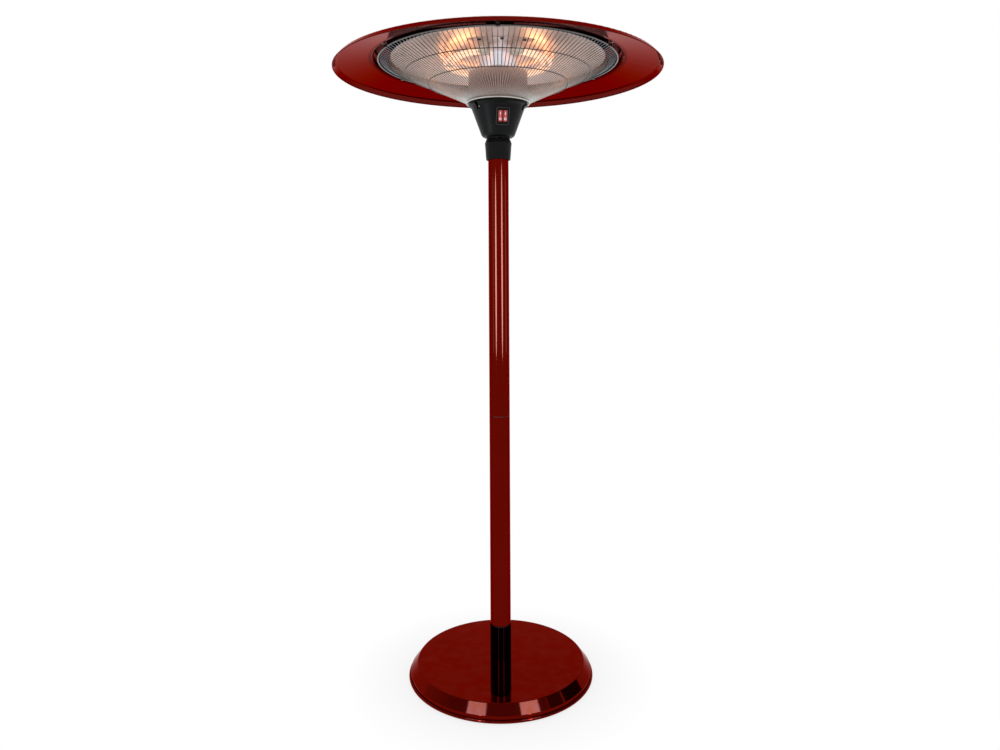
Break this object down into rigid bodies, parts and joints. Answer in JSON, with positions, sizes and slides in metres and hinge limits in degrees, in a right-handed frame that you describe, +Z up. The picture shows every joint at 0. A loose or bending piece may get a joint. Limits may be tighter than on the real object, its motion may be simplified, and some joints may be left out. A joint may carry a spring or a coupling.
{
  "type": "electric patio heater",
  "caption": "Free-standing infrared patio heater: weighted round foot, telescopic mast with a twist lock, and a wire-guarded ring-lamp head under a hat-shaped shade.",
  "frame": {"origin": "on the mast's axis at floor level, under the rubber feet", "axes": "+Z up along the mast; -Y is the front, where the lamps' ends meet; +X is to the right seen from the front"},
  "size_m": [0.85, 0.85, 1.668],
  "materials": {
    "red_paint": "high-gloss deep red enamel",
    "black_paint": "gloss black enamel",
    "black_plastic": "fine matt moulded texture",
    "dark_plastic": "smooth moulded",
    "white_plastic": "smooth moulded",
    "rocker_red": "clear red tinted, lit from inside",
    "rubber": "matt",
    "cast_iron": "as cast",
    "zinc_steel": "zinc plated",
    "steel": "satin",
    "chrome": "polished",
    "guard_chrome": "bright wire",
    "spun_aluminium": "circular brushed",
    "polished_aluminium": "polished",
    "ceramic": "unglazed",
    "quartz": "clear quartz",
    "filament": "glowing",
    "lead_sleeve": "woven glass sleeve"
  },
  "bodies": {
    "base": {"base_cover": "red_paint", "ballast_disc": "cast_iron", "rubber_feet": "rubber", "mast_socket": "black_paint", "socket_bolts": "zinc_steel", "bolt_washers": "zinc_steel", "cable_grommet": "rubber", "lower_pole": "red_paint", "upper_pole": "red_paint", "pole_coupler": "steel", "pole_lock_screw": "zinc_steel", "clamp_sleeve": "dark_plastic", "clamp_collet": "white_plastic"},
    "collar": {"lock_collar": "black_plastic"},
    "head": {"inner_tube": "chrome", "guide_bush": "white_plastic", "control_housing": "black_plastic", "housing_screws": "zinc_steel", "mast_flange": "steel", "tube_set_screws": "zinc_steel", "switch_frame": "dark_plastic", "switch_body": "dark_plastic", "tilt_switch": "white_plastic", "terminal_block": "ceramic", "guard_wires": "guard_chrome", "guard_hoops": "guard_chrome", "guard_foot_ring": "guard_chrome", "guard_top_ring": "guard_chrome", "guard_foot_plate": "steel", "guard_clips": "steel", "lamp_drum": "spun_aluminium", "centre_post": "polished_aluminium", "reflector_dish": "spun_aluminium", "lamp_bracket": "spun_aluminium", "bracket_screws": "zinc_steel", "lamp_end_caps": "ceramic", "lamp_holders": "steel", "lamp_hangers": "steel", "outer_lamp": "quartz", "inner_lamp": "quartz", "outer_filament": "filament", "inner_filament": "filament", "lamp_leads": "lead_sleeve", "shade": "red_paint", "shade_spacer": "steel", "tie_rod": "zinc_steel", "tie_rod_nut": "zinc_steel", "cap_washer": "chrome", "cap_nut": "chrome"},
    "inner_rocker": {"inner_lamp_rocker": "rocker_red"},
    "outer_rocker": {"outer_lamp_rocker": "rocker_red"}
  },
  "joints": [
    {"name": "mast_slide", "type": "slide", "parent": "base", "child": "head", "axis": [0, 0, 1], "range_m": [0, 0.45]},
    {"name": "collar_twist", "type": "hinge", "parent": "base", "child": "collar", "pos_m": [0, 0, 1.3648], "axis": [0, 0, 1], "range_deg": [0, 90]},
    {"name": "inner_lamp_switch", "type": "hinge", "parent": "head", "child": "inner_rocker", "pos_m": [0.0049, -0.05928, 1.44183], "axis": [0.9816, 0.1908, 0], "range_deg": [0, 16]},
    {"name": "outer_lamp_switch", "type": "hinge", "parent": "head", "child": "outer_rocker", "pos_m": [0.01766, -0.0568, 1.44183], "axis": [0.9816, 0.1908, 0], "range_deg": [0, 16]}
  ]
}
